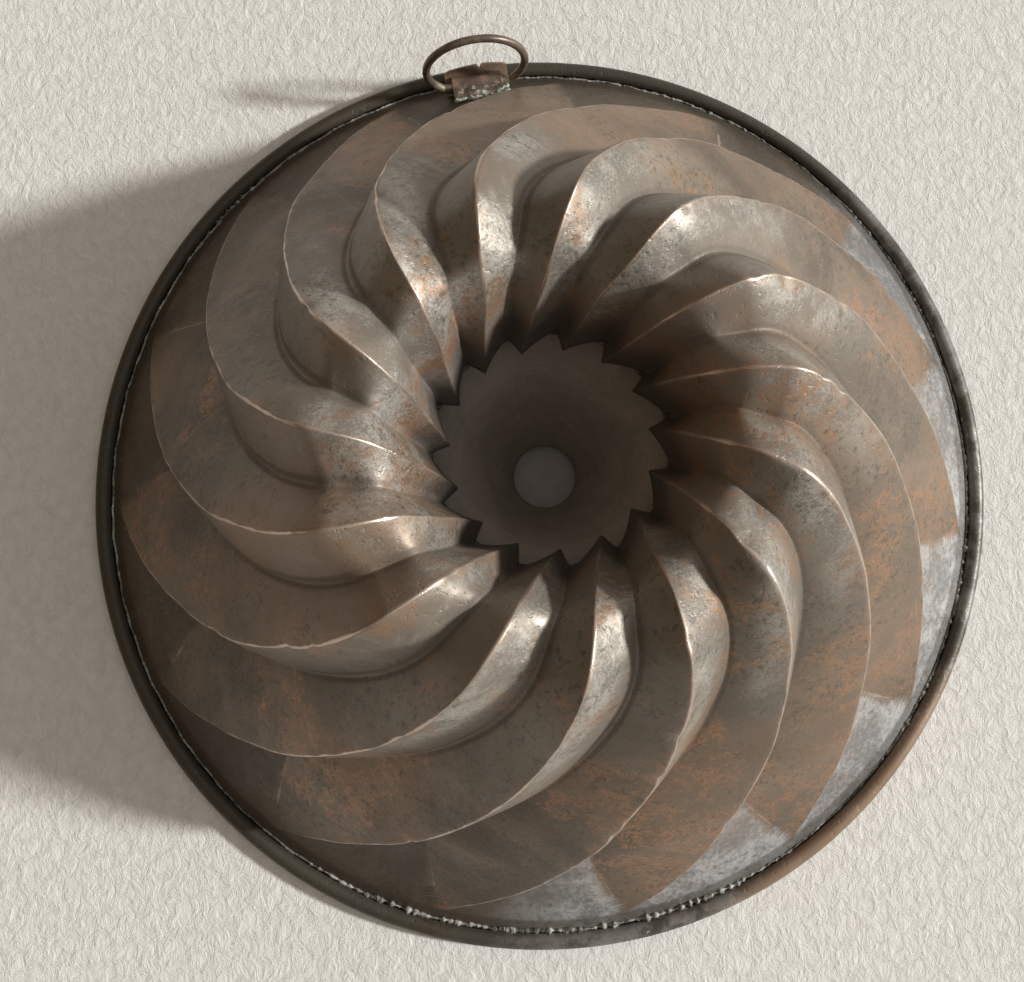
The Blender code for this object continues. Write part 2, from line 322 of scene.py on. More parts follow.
def sheet_grid():
    """The crown side of the whole sheet, each row's share of the line, each point's place across its flute,
    and the places of the flute's two corners."""
    ridge = line_points(RIDGE_LINE)
    valley = line_points(VALLEY_LINE)
    share = run_shares(ridge)[:, None]
    sweep = bezier(SWEEP, share)
    steep = np.maximum(bezier(STEEP_SHARE, share), LEAST_STEEP * share)
    fold = 1 - (sweep + FOLD_BACK * np.minimum(sweep / FOLD_SWEEP, 1)) * FLUTES / 360
    face = np.maximum(fold, steep + VALLEY_FLOOR)
    place = np.tile(flute_columns(share, steep, face), FLUTES)
    flute = np.repeat(np.arange(FLUTES), COLUMNS)[None, :]
    drop = 1 - place / np.maximum(steep, 1e-6)
    rise = (place - face) / np.maximum(1 - face, 1e-6)
    height = np.maximum(np.maximum(drop, rise), 0)
    over = smoothstep(0.35, 0.6, share) * (1 - smoothstep(0.9, 1.0, share))
    bulge = FACE_BULGE * np.sin(math.pi * np.clip(rise, 0, 1))
    hollow = STEEP_HOLLOW * np.sin(math.pi * np.clip(drop, 0, 1))
    height = height + (bulge - hollow) * over
    wander, lift = ridge_wobble(share, flute + place)
    ends = smoothstep(0, 0.06, share)
    radius = valley[:, :1] + (ridge[:, :1] - valley[:, :1]) * height
    level = valley[:, 1:] + (ridge[:, 1:] - valley[:, 1:]) * height + lift * ends
    azimuth = np.radians(FIRST_FLUTE + (flute + place - 1) * 360 / FLUTES + sweep)
    azimuth = azimuth + wander * ends / radius
    upper = np.stack([radius * np.cos(azimuth), radius * np.sin(azimuth), level], -1)
    turn = curl_turns()
    radius = BEAD_CENTRE[0] + CURL_RADIUS * np.cos(turn) + 0 * azimuth[:1]
    level = BEAD_CENTRE[1] + CURL_RADIUS * np.sin(turn) + 0 * azimuth[:1]
    even = np.arange(AROUND)[None, :] / COLUMNS
    lower_place = np.radians(FIRST_FLUTE + (even - 1) * 360 / FLUTES) + 0 * turn
    lower = np.stack([radius * np.cos(lower_place), radius * np.sin(lower_place), level], -1)
    climb = (np.arange(FOOT_ROWS) + 1)[:, None, None] / (FOOT_ROWS + 1)
    middle = lower[-1:] + (upper[:1] - lower[-1:]) * climb
    points = np.concatenate([lower, middle, upper])
    shares = np.concatenate([np.full((CURL_ROWS, 1), -1.0), np.zeros((FOOT_ROWS, 1)), share])
    return points, shares, place, face, steep


def soften(points, share):
    """Rounds the valleys over the crown and in the funnel, and takes the knife edge off the ridges."""
    column = np.arange(AROUND) % COLUMNS
    middle_column = STEEP_COLUMNS + FLOOR_COLUMNS / 2
    to_valley = np.maximum(np.abs(column - middle_column) - FLOOR_COLUMNS / 2, 0)
    to_ridge = np.minimum(column, COLUMNS - column)
    valley = np.exp(-((to_valley / VALLEY_REACH) ** 2))[None, :] * smoothstep(0.25, 0.6, share)
    ridge = np.exp(-((to_ridge / RIDGE_REACH) ** 2))[None, :] * RIDGE_SOFTENING * smoothstep(0.0, 0.1, share)
    for step in range(SOFTEN_STEPS):
        weight = valley * VALLEY_SOFTENING
        if step == 0:
            weight = np.maximum(weight, ridge)
        middle = (np.roll(points, 1, 1) + np.roll(points, -1, 1)) / 2
        points = points + (middle - points) * weight[..., None]
    return points


def nick(points, normals, share):
    """Small dents along the ridges, as old moulds get where they knock together."""
    source = random.Random(7)
    for _ in range(NICKS):
        flute = source.randrange(FLUTES)
        where = source.uniform(*NICK_PLACE)
        row = int(np.argmin(np.abs(share[:, 0] - where)))
        column = flute * COLUMNS + source.choice([0, 0, 0, 1, -1])
        centre = points[row, column % AROUND]
        reach = source.uniform(*NICK_REACH)
        depth = source.uniform(*NICK_DEPTH)
        near = np.exp(-(((points - centre) ** 2).sum(-1)) / reach**2)
        points = points - normals[row, column % AROUND] * (near * depth)[..., None]
    return points


def near_values(points, place, steep, face):
    """Millimetres from each point to the nearest ridge, valley crease and fold, measured along its row."""
    rows = len(points)
    step = np.linalg.norm(points - np.roll(points, 1, 1), axis=-1).reshape(rows, FLUTES, COLUMNS)
    last = np.roll(step[:, :, 0], -1, 1)[:, :, None]
    step[:, :, 0] = 0
    run = np.cumsum(step, 2)
    total = run[:, :, -1:] + last
    ridge = np.minimum(run, total - run)
    crease = np.empty_like(run)
    fold = np.empty_like(run)
    for i in range(rows):
        for k in range(FLUTES):
            for corner, values in ((steep, crease), (face, fold)):
                values[i, k] = np.abs(run[i, k] - np.interp(corner[i, 0], place[i, :COLUMNS], run[i, k]))
    return [1000 * value.reshape(rows, AROUND) for value in (ridge, crease, fold)]


def inner_points(points):
    """The inner side: each point moved back by the sheet's thickness, in its own upright plane."""
    middle = points.mean(1)
    centre_radius = np.hypot(points[..., 0], points[..., 1]).mean(1)
    tangent = np.gradient(np.stack([centre_radius, middle[:, 2]], -1), axis=0)
    tangent /= np.linalg.norm(tangent, axis=1, keepdims=True)
    azimuth = np.arctan2(points[..., 1], points[..., 0])
    turn = curl_turns()
    out = np.concatenate([-np.cos(turn), tangent[CURL_ROWS:, 1:2]])
    up = np.concatenate([-np.sin(turn), -tangent[CURL_ROWS:, :1]])
    plain = np.stack([out * np.cos(azimuth), out * np.sin(azimuth), up + 0 * azimuth], -1)
    lean = np.clip((surface_normals(points) * plain).sum(-1, keepdims=True), 0.5, 1)
    back = points - plain * SHEET / lean
    back[..., 2] = np.maximum(back[..., 2], 0)
    return back


def sheet_faces(rows):
    """Faces of both sides and of the two edges."""
    count = rows * AROUND
    front = grid_faces(rows, AROUND)
    back = grid_faces(rows, AROUND, count, flip=True)
    ring = np.arange(AROUND)
    after = (ring + 1) % AROUND
    top = (rows - 1) * AROUND
    curl_edge = np.stack([ring, ring + count, after + count, after], -1)
    lip_edge = np.stack([ring + top, after + top, after + top + count, ring + top + count], -1)
    return np.concatenate([front, back, curl_edge, lip_edge])


def make_body():
    """The raised sheet: a fine crown side, an inner side one sheet's thickness behind it, and edges."""
    points, shares, place, face, steep = sheet_grid()
    share = shares[RIM_ROWS:]
    body = soften(points[RIM_ROWS:], share)
    normals = surface_normals(body)
    body = nick(body, normals, share)
    rise = swell(body, 21, BROAD_SWELL) * SWELL + swell(body, 22, FINE_SWELL) * SWELL * FINE_SHARE
    body = body + normals * (rise * smoothstep(0.0, 0.08, share))[..., None]
    over = np.maximum(body[..., 2] - (HEIGHT - HEIGHT_ROOM), 0)
    body[..., 2] += HEIGHT_ROOM * np.tanh(over / HEIGHT_ROOM) - over
    points = np.concatenate([points[:RIM_ROWS], body])
    rows = len(points)
    verts = np.concatenate([points.reshape(-1, 3), inner_points(points).reshape(-1, 3)])
    made = mesh_object("raised_copper_body", verts, sheet_faces(rows))

    far = np.full((3, rows, AROUND), FAR)
    far[:, RIM_ROWS:] = near_values(body, place, steep, face)
    patch = np.zeros((rows, AROUND))
    patch[CURL_ROWS:RIM_ROWS] = 1
    patch[RIM_ROWS:] = (place >= steep) & (place < face) & (face - steep > 2 * VALLEY_FLOOR)
    names = ("share", "ridge_mm", "crease_mm", "fold_mm", "plain_patch")
    for name, values in zip(names, (np.broadcast_to(shares, (rows, AROUND)), *far, patch)):
        keep_values(made.data, name, np.concatenate([values.ravel(), values.ravel()]))
    return made


def tube_mesh(name, path, radius_at, sides, closed=True, flat=1.0, up=Vector((0, 0, 1))):
    """A tube along a path, with its radius given at each point and its height scaled by flat along up."""
    verts = []
    count = len(path)
    for i, point in enumerate(path):
        ahead = path[(i + 1) % count] if closed or i + 1 < count else path[i]
        behind = path[i - 1] if closed or i > 0 else path[i]
        way = (ahead - behind).normalized()
        side = way.cross(up).normalized()
        top = side.cross(way).normalized()
        for j in range(sides):
            turn = 2 * math.pi * j / sides
            reach = radius_at(i, j)
            verts.append(point + side * reach * math.cos(turn) + top * reach * flat * math.sin(turn))
    faces = []
    for i in range(count if closed else count - 1):
        for j in range(sides):
            a = i * sides + j
            b = i * sides + (j + 1) % sides
            c = (i + 1) % count * sides + (j + 1) % sides
            d = (i + 1) % count * sides + j
            faces.append((d, c, b, a))
    if not closed:
        faces.append(tuple(range(sides)))
        faces.append(tuple((count - 1) * sides + j for j in range(sides))[::-1])
    return mesh_object(name, verts, faces)


def wall_frame():
    """Axes at the ring's pivot, up the wall and away from it, and the pivot itself."""
    slope = math.radians(VALLEY_LINE["slope"])
    up = Vector((0, -math.cos(slope), math.sin(slope)))
    away = Vector((0, math.sin(slope), math.cos(slope)))
    pivot = Vector((0, *WALL_FOOT)) + LUG_UP_WALL * up + LUG_OFF_WALL * away
    return up, away, pivot


def make_ring():
    """The wire ring, a little out of round, with a straight run in the lug where it rubs pale."""
    radius = RING_OUTER / 2 - RING_WIRE_RADIUS
    rise = math.sqrt(radius**2 - (RING_STRAIGHT / 2) ** 2)
    start = math.atan2(-rise, RING_STRAIGHT / 2)
    end = math.pi - start
    flat = []
    for i in range(RING_ARC_STEPS + 1):
        turn = start + (end - start) * i / RING_ARC_STEPS
        away = radius * (1 - 0.006 * (1 + math.sin(3 * turn + 1)))
        flat.append(Vector((away * math.cos(turn), rise + away * math.sin(turn), 0)))
    first, last = flat[0], flat[-1]
    for i in range(1, RING_STRAIGHT_STEPS):
        flat.append(last.lerp(first, i / RING_STRAIGHT_STEPS))
    stand = Matrix.Rotation(math.radians(RING_STAND), 3, "X")
    pivot = wall_frame()[2]
    path = [stand @ point + pivot for point in flat]

    def wire(i, _):
        return RING_WIRE_RADIUS * (0.985 - 0.012 * math.sin(i * 0.31) - 0.008 * math.sin(i * 0.83 + 1))

    made = tube_mesh("brass_hanging_ring", path, wire, RING_SIDES, up=stand @ Vector((0, 0, 1)))
    rub = []
    for point in flat:
        inside = smoothstep(0.0035, 0.0010, point.y)
        left = smoothstep(-0.0035, -0.0070, point.x) * smoothstep(0.0045, 0.0010, point.y)
        rub += [float(max(inside * 0.5, left))] * RING_SIDES
    keep_values(made.data, "rubbed", rub)
    return made


def slab(name, outline, across, upward, along, origin, length, cuts):
    """A flat outline swept both ways along a line, with rows of points for small unevenness."""
    verts = []
    count = len(outline)
    for k in range(cuts + 1):
        shift = (k / cuts - 0.5) * length
        for a, b in outline:
            verts.append(origin + across * a + upward * b + along * shift)
    faces = []
    for k in range(cuts):
        for j in range(count):
            a = k * count + j
            b = k * count + (j + 1) % count
            faces.append((b, b + count, a + count, a))
    faces.append(tuple(range(count))[::-1])
    faces.append(tuple(cuts * count + j for j in range(count)))
    return mesh_object(name, verts, faces)


def bevelled(piece):
    edge = piece.modifiers.new("worn_edges", "BEVEL")
    edge.width = EDGE_WEAR
    edge.segments = 2
    edge.limit_method = "ANGLE"
    edge.angle_limit = math.radians(40)
    edge.harden_normals = True


def roughen(piece, seed, size, amount):
    """Moves a mesh's points a little, with features of the given size."""
    count = len(piece.data.vertices)
    co = np.zeros(count * 3)
    piece.data.vertices.foreach_get("co", co)
    co = co.reshape(-1, 3)
    push = np.stack([swell(co, seed + k, size) for k in range(3)], -1)
    piece.data.vertices.foreach_set("co", (co + push * amount).ravel())
    piece.data.update()


def strap_outline():
    """The strap over the wire, in the plane (up the wall, away from it): back edge, arch and foot."""
    outer = LUG_BORE + LUG_SHEET
    base = GAP - LUG_OFF_WALL
    foot = base + LUG_SHEET
    back = -LUG_BORE - LUG_SHEET / 2
    bend = LUG_SHEET * 0.6
    turns = [math.radians(90 * (1 - i / 10)) for i in range(11)]
    over = [(outer * math.cos(turn), outer * math.sin(turn)) for turn in turns]
    under = [(LUG_BORE * math.cos(turn), LUG_BORE * math.sin(turn)) for turn in reversed(turns)]
    knee = [(outer + bend * (1 - math.cos(t)), foot + bend * (1 - math.sin(t))) for t in (0, 0.5, 1.0, 1.57)]
    return (
        [(back, outer - 0.0002), (back + 0.0003, outer)]
        + over
        + knee
        + [(LUG_FOOT, foot), (LUG_FOOT, base), (outer - bend, base), (LUG_BORE, base + 0.0006)]
        + under
        + [(back + 0.0001, LUG_BORE), (back, LUG_BORE)]
    )


def make_lug():
    """The folded strap over the wire and the longer back leaf that stands out behind it, with its notch."""
    up, away, pivot = wall_frame()
    along = Vector((1, 0, 0))
    strap = slab("lug_strap", strap_outline(), up, away, along, pivot, LUG_LENGTH, 24)
    roughen(strap, 40, 0.005, 0.00004)
    half = LUG_BACK_LENGTH / 2
    foot = GAP - LUG_OFF_WALL
    top = LUG_BACK_REACH
    left = NOTCH_OFFSET - NOTCH_WIDTH / 2
    right = NOTCH_OFFSET + NOTCH_WIDTH / 2
    leaf_line = [(-half, foot), (half, foot), (half, top * 0.78), (half - 0.0009, top * 0.87)]
    leaf_line += [(right + 0.0016, top * 0.99), (right, top)]
    leaf_line += [(NOTCH_OFFSET + 0.0001, top - NOTCH_DEPTH), (left, top)]
    leaf_line += [(-0.0030, top * 0.95), (-half + 0.0016, top * 0.84), (-half, top * 0.72)]
    middle = pivot - up * (LUG_BORE + LUG_SHEET / 2)
    leaf = slab("lug_back_leaf", leaf_line, along, away, up, middle, LUG_SHEET * 0.9, 1)
    for piece in (strap, leaf):
        bevelled(piece)
    return strap, leaf


def wave_rows(source, draw_rate, count):
    """Rates, phases and weights for a sum of sines, with each rate from the given draw."""
    return [(draw_rate(), source.uniform(0, 6.28), source.uniform(0.4, 1)) for _ in range(count)]


def make_crust(name, path, radius, seed, flat, up):
    """A run of old solder and verdigris along a path: lumpy, and thin in places."""
    source = random.Random(seed)
    rows = wave_rows(source, lambda: source.uniform(0.5, 3.0), 7)

    def lumpy(i, j):
        value = sum(share * math.sin(rate * i * 0.37 + phase + 0.9 * j) for rate, phase, share in rows)
        value = value / 3 + 0.35 * source.uniform(-1, 1)
        return radius * max(0.25, 1 + 0.6 * value)

    return tube_mesh(name, path, lumpy, 10, closed=False, flat=flat, up=up)


def make_seam_crust():
    """The uneven line of dirt and pale salts in the groove between the wall and the bead."""
    source = random.Random(61)
    rows = wave_rows(source, lambda: source.randrange(5, 420), 30)
    path = []
    sizes = []
    for i in range(SEAM_POINTS):
        turn = 2 * math.pi * i / SEAM_POINTS
        most = 0.15
        for middle, reach, strength in SEAM_RUNS:
            off = (math.degrees(turn) - middle + 180) % 360 - 180
            most = max(most, strength * (1 - smoothstep(0.5, 1.2, abs(off) / reach)))
        value = sum(share * math.sin(rate * turn + phase) for rate, phase, share in rows) / 4
        radius = SEAM_PLACE[0] + 0.00012 * math.sin(turn * 37) + 0.00009 * math.sin(turn * 91 + 1)
        path.append(circle_point(radius, turn, SEAM_PLACE[1]))
        sizes.append(SEAM_THIN + SEAM_THICK * most * max(0.0, 0.7 + 0.8 * value))

    def lumpy(i, _):
        return sizes[i] * (1 + 0.35 * source.uniform(-1, 1))

    return tube_mesh("seam_verdigris", path, lumpy, 8)


def make_lug_crust():
    """Solder along the strap's foot, and the pale crust round its right-hand end."""
    up, away, pivot = wall_frame()
    lift = away * (GAP - LUG_OFF_WALL + CRUST_LIFT)
    foot = []
    for i in range(40):
        x = (i / 39 - 0.5) * FOOT_RUN
        bow = 0.0004 * math.sin(i * 0.5) + 0.0003 * math.sin(i * 1.3)
        foot.append(pivot + Vector((x, 0, 0)) + up * (LUG_FOOT + 0.0002 + bow) + lift)
    end = []
    for i in range(26):
        a = END_FROM + END_RUN * i / 25
        x = LUG_LENGTH / 2 + 0.0006 + 0.0006 * math.sin(i * 0.55)
        end.append(pivot + Vector((x, 0, 0)) + up * a + lift)
    return [
        make_crust("lug_foot_solder", foot, FOOT_CRUST, 71, 0.75, away),
        make_crust("lug_end_solder", end, END_CRUST, 73, 0.8, away),
    ]


def make_tube_solder():
    """The uneven ring of solder between the lip and the tube."""
    radius = VALLEY_LINE["lip"][0] + SHEET + GAP - LIP_CRUST_IN
    count = 300
    level = LIP_HEIGHT - LIP_CRUST_DOWN
    path = [circle_point(radius, 2 * math.pi * i / count, level) for i in range(count)]
    source = random.Random(83)
    rows = wave_rows(source, lambda: source.randrange(3, 60), 12)

    def lumpy(i, j):
        turn = 2 * math.pi * i / count
        value = sum(share * math.sin(rate * turn + phase + 0.8 * j) for rate, phase, share in rows)
        return LIP_CRUST * max(0.6, 1 + 0.10 * value)

    return tube_mesh("lip_solder_ring", path, lumpy, 10)


def make_rim_wire():
    """The iron wire that the rim is rolled round."""
    radius, level = BEAD_CENTRE
    path = [circle_point(radius, math.radians(i), level) for i in range(360)]
    return tube_mesh("rim_iron_wire", path, lambda i, j: WIRE_RADIUS, 10)


# Materials

# Patinas: dark and light colour, noise scales of the patches and of the flecks, and the flecks' strength
PATINAS = {
    "brown": ((0.110, 0.088, 0.064, 1), (0.220, 0.172, 0.128, 1), 24.0, 1100.0, 0.45),
    "silver": ((0.225, 0.206, 0.174, 1), (0.440, 0.412, 0.365, 1), 75.0, 1500.0, 0.8),
    "pewter": ((0.200, 0.204, 0.204, 1), (0.450, 0.460, 0.460, 1), 48.0, 700.0, 0.6),
    "shaded": ((0.066, 0.052, 0.038, 1), (0.120, 0.098, 0.072, 1), 34.0, 900.0, 0.5),
    "tube": ((0.440, 0.390, 0.345, 1), (0.560, 0.500, 0.445, 1), 45.0, 500.0, 0.5),
    "brass": ((0.120, 0.092, 0.074, 1), (0.230, 0.175, 0.140, 1), 110.0, 1200.0, 0.4),
    "lug": ((0.130, 0.098, 0.078, 1), (0.290, 0.200, 0.150, 1), 130.0, 1100.0, 0.5),
    "iron": ((0.07, 0.06, 0.055, 1), (0.20, 0.13, 0.09, 1), 90.0, 900.0, 0.7),
    "pale_verdigris": ((0.05, 0.045, 0.036, 1), (0.17, 0.17, 0.14, 1), 150.0, 900.0, 0.9),
    "chalky_seam_crust": ((0.09, 0.085, 0.070, 1), (0.38, 0.38, 0.35, 1), 150.0, 900.0, 0.9),
    "grey_solder": ((0.05, 0.045, 0.04, 1), (0.15, 0.145, 0.13, 1), 150.0, 900.0, 0.9),
}

# Colours laid over the copper's patina
CROWN_BROWN = (0.225, 0.195, 0.158, 1)
RIB_COPPER = (0.280, 0.165, 0.098, 1)
WARM_BROWN = (0.290, 0.195, 0.130, 1)
# Painted shade that dims the broad faces on the sunlit side
SUNLIT_SIDE_SHADE = (0.115, 0.100, 0.076, 1)
BARE_COPPER = (0.400, 0.225, 0.130, 1)
OLIVE_SPECK = (0.066, 0.066, 0.048, 1)
VALLEY_DIRT = (0.060, 0.050, 0.040, 1)
TIP_COPPER = (0.290, 0.165, 0.100, 1)
FUNNEL_SHADE = (0.105, 0.092, 0.080, 1)
RIDGE_GLOW = (0.320, 0.215, 0.150, 1)
RIDGE_BRIGHT = (0.580, 0.480, 0.400, 1)
FOLD_GREY = (0.420, 0.410, 0.370, 1)
GROOVE_DARK = (0.070, 0.060, 0.046, 1)
BEAD_DARK = (0.062, 0.058, 0.047, 1)
BEAD_LIT_GREY = (0.210, 0.205, 0.190, 1)
BEAD_SHADED_OLIVE = (0.062, 0.056, 0.042, 1)
BEAD_RUST = (0.300, 0.195, 0.125, 1)

# Way towards the window: the side of each rib turned this way is painted lit, with silver and bare copper,
# and the other side keeps a darker brown as painted shade
LIT_RIB_WAY = (0.986, -0.165, 0.0)

# Sides of the mould, as shares of X and of minus Y, and the distances over which each sets in: the sunlit
# side, on which light is painted, and the rusty side
SUNLIT_WAY = (0.8, 0.6)
SUNLIT_RUN = (0.040, 0.075)
RUSTY_WAY = (0.56, 0.83)
RUSTY_RUN = (0.108, 0.116)

# Heights of soot and wear in the tube, and the run along Y over which the lug turns green
SOOT_RUN = (0.045, 0.066)
TUBE_FOOT = 0.004
TUBE_FOOT_RUN = (0.0075, 0.0042)
LUG_GREEN_RUN = (0.1119, 0.1087)


class Graph:
    """Short calls for the nodes of one material or node group."""

    def __init__(self, tree):
        self.tree = tree
        self.count = 0

    def add(self, kind, **settings):
        node = self.tree.nodes.new(kind)
        for key, value in settings.items():
            setattr(node, key, value)
        node.location = (self.count % 12 * 190, -(self.count // 12) * 260)
        self.count += 1
        return node

    def feed(self, node, name, value):
        socket = node.inputs[name]
        if isinstance(value, bpy.types.NodeSocket):
            self.tree.links.new(value, socket)
        else:
            socket.default_value = value

    def feed_all(self, node, **values):
        for label, value in values.items():
            self.feed(node, label.replace("_", " "), value)

    def value(self, name):
        return self.add("ShaderNodeAttribute", attribute_name=name).outputs["Fac"]

    def place(self):
        return self.add("ShaderNodeTexCoord").outputs["Object"]

    def axes(self, where):
        node = self.add("ShaderNodeSeparateXYZ")
        self.feed(node, 0, where)
        return node.outputs

    def along(self, axes, way):
        """Distance along a direction in the plane, given as its shares of X and of minus Y."""
        return self.minus(self.times(axes["X"], way[0]), self.times(axes["Y"], way[1]))

    def noise(self, where, scale, detail=4.0, roughness=0.55, distortion=0.0):
        node = self.add("ShaderNodeTexNoise")
        self.feed_all(node, Vector=where, Scale=scale, Detail=detail)
        self.feed_all(node, Roughness=roughness, Distortion=distortion)
        return node.outputs["Fac"]

    def fade(self, value, low, high, to_low=0.0, to_high=1.0):
        node = self.add("ShaderNodeMapRange", interpolation_type="SMOOTHSTEP")
        self.feed_all(node, Value=value, From_Min=low, From_Max=high, To_Min=to_low, To_Max=to_high)
        return node.outputs["Result"]

    def math(self, operation, a, b=0.0, clamp=False):
        node = self.add("ShaderNodeMath", operation=operation, use_clamp=clamp)
        self.feed(node, 0, a)
        self.feed(node, 1, b)
        return node.outputs[0]

    def times(self, *values):
        total = values[0]
        for value in values[1:]:
            total = self.math("MULTIPLY", total, value)
        return total

    def plus(self, a, b):
        return self.math("ADD", a, b)

    def minus(self, a, b):
        return self.math("SUBTRACT", a, b)

    def most(self, a, b):
        return self.math("MAXIMUM", a, b)

    def mix(self, share, a, b, kind="RGBA", first=6, result=2):
        """Two colours mixed. The mix node has its own pair of inputs and its own output for each kind."""
        node = self.add("ShaderNodeMix", data_type=kind)
        for socket, value in ((0, share), (first, a), (first + 1, b)):
            self.feed(node, socket, value)
        return node.outputs[result]

    def blend(self, share, a, b):
        """Two numbers mixed."""
        return self.mix(share, a, b, "FLOAT", 2, 0)

    def group(self, name, **values):
        node = self.add("ShaderNodeGroup", node_tree=bpy.data.node_groups[name])
        self.feed_all(node, **values)
        return node.outputs


def new_group(name, inputs, outputs):
    """A node group with the given kinds of inputs and outputs, by their names."""
    tree = bpy.data.node_groups.new(name, "ShaderNodeTree")
    for way, sockets in (("INPUT", inputs), ("OUTPUT", outputs)):
        for label, kind in sockets.items():
            tree.interface.new_socket(label, in_out=way, socket_type=kind)
    graph = Graph(tree)
    entry = graph.add("NodeGroupInput")
    leave = graph.add("NodeGroupOutput")
    return graph, entry.outputs, leave


FLOAT = "NodeSocketFloat"
COLOUR = "NodeSocketColor"


def patina_group():
    """Soft mottling between two colours, with finer flecks inside it."""
    inputs = {"Dark": COLOUR, "Light": COLOUR, "Patch Size": FLOAT, "Fleck Size": FLOAT, "Flecks": FLOAT}
    g, given, leave = new_group("patina", inputs, {"Color": COLOUR, "Mask": FLOAT})
    where = g.place()
    broad = g.fade(g.noise(where, given["Patch Size"], 8.0, 0.66, 0.4), 0.38, 0.62)
    fleck = g.fade(g.noise(where, given["Fleck Size"], 4.0, 0.75), 0.40, 0.60, -0.5, 0.5)
    share = g.math("ADD", broad, g.times(fleck, given["Flecks"]), clamp=True)
    g.feed(leave, "Color", g.mix(share, given["Dark"], given["Light"]))
    g.feed(leave, "Mask", share)


def rub_group():
    """Where an edge is rubbed bright: close to the edge, broken up unevenly."""
    inputs = {"Distance": FLOAT, "Width": FLOAT, "Break Up": FLOAT}
    g, given, leave = new_group("rubbed_edge", inputs, {"Mask": FLOAT})
    where = g.place()
    uneven = g.fade(g.noise(where, 160.0, 5.0, 0.6), 0.3, 0.7, -0.5, 0.5)
    ragged = g.plus(given["Distance"], g.times(uneven, given["Break Up"], given["Width"], 2.0))
    g.feed(leave, "Mask", g.fade(ragged, given["Width"], g.times(given["Width"], 0.35)))


def grain_group():
    """Height of worked metal: soft planishing marks, fine grain and a few pits."""
    inputs = {"Planishing": FLOAT, "Grain": FLOAT, "Pits": FLOAT}
    g, given, leave = new_group("worked_metal", inputs, {"Height": FLOAT})
    where = g.place()
    cells = g.add("ShaderNodeTexVoronoi", feature="SMOOTH_F1")
    g.feed(cells, "Vector", where)
    g.feed(cells, "Scale", 210.0)
    marks = g.times(cells.outputs["Distance"], given["Planishing"])
    grain = g.times(g.noise(where, 1500.0, 4.0, 0.7), given["Grain"], 0.25)
    pits = g.fade(g.noise(where, 620.0, 3.0, 0.6), 0.30, 0.42, -1.0, 0.0)
    deep = g.times(pits, given["Pits"], 0.5)
    g.feed(leave, "Height", g.plus(g.plus(marks, grain), deep))


def verdigris_group():
    """Pale green salts that gather in specks where a mask allows."""
    inputs = {"Base": COLOUR, "Where": FLOAT, "Amount": FLOAT}
    g, given, leave = new_group("verdigris", inputs, {"Color": COLOUR, "Mask": FLOAT})
    where = g.place()
    speck = g.noise(where, 520.0, 6.0, 0.75)
    level = g.minus(0.72, g.times(given["Amount"], 0.3))
    mask = g.times(g.fade(speck, level, g.plus(level, 0.1)), given["Where"])
    tint = g.mix(g.fade(g.noise(where, 90.0, 3.0), 0.4, 0.6), (0.46, 0.55, 0.46, 1), (0.62, 0.66, 0.58, 1))
    g.feed(leave, "Color", g.mix(mask, given["Base"], tint))
    g.feed(leave, "Mask", mask)


def new_material(name):
    """A material with its graph, its shader and the place on the piece that its textures follow."""
    made = bpy.data.materials.new(name)
    made.use_nodes = True
    g = Graph(made.node_tree)
    return made, g, made.node_tree.nodes["Principled BSDF"], g.place()


def patina(g, name):
    """Colour and mask of one row of the table of patinas."""
    dark, light, patches, fleck_size, flecks = PATINAS[name]
    return g.group("patina", Dark=dark, Light=light, Patch_Size=patches, Fleck_Size=fleck_size, Flecks=flecks)


def add_bump(g, shader, height, strength, distance):
    bump = g.add("ShaderNodeBump")
    bump.inputs["Strength"].default_value = strength
    bump.inputs["Distance"].default_value = distance
    g.feed(bump, "Height", height)
    g.feed(shader, "Normal", bump.outputs["Normal"])


def finish_metal(g, shader, surface, worked, bump):
    """Feeds the shader its base colour, metallic and roughness, and bumps it as worked metal."""
    for name, value in zip(("Base Color", "Metallic", "Roughness"), surface):
        g.feed(shader, name, value)
    planishing, grain, pits = worked
    height = g.group("worked_metal", Planishing=planishing, Grain=grain, Pits=pits)["Height"]
    add_bump(g, shader, height, *bump)


def bead_colour(g, where, axes, sunlit_side):
    """The rim bead: olive brown as painted shade on the side away from the window, flecked grey as painted
    light on the sunlit side, and rusty at the lower right.
    """
    flecked = g.mix(g.fade(g.noise(where, 90.0, 6.0, 0.7), 0.42, 0.60), BEAD_DARK, BEAD_LIT_GREY)
    # Painted light and shade: grey flecks on the sunlit side, dark olive on the other
    bead_lit_or_shaded = g.mix(sunlit_side, BEAD_SHADED_OLIVE, flecked)
    rusty = g.fade(g.along(axes, RUSTY_WAY), *RUSTY_RUN)
    return g.mix(g.times(rusty, 0.75), bead_lit_or_shaded, BEAD_RUST)


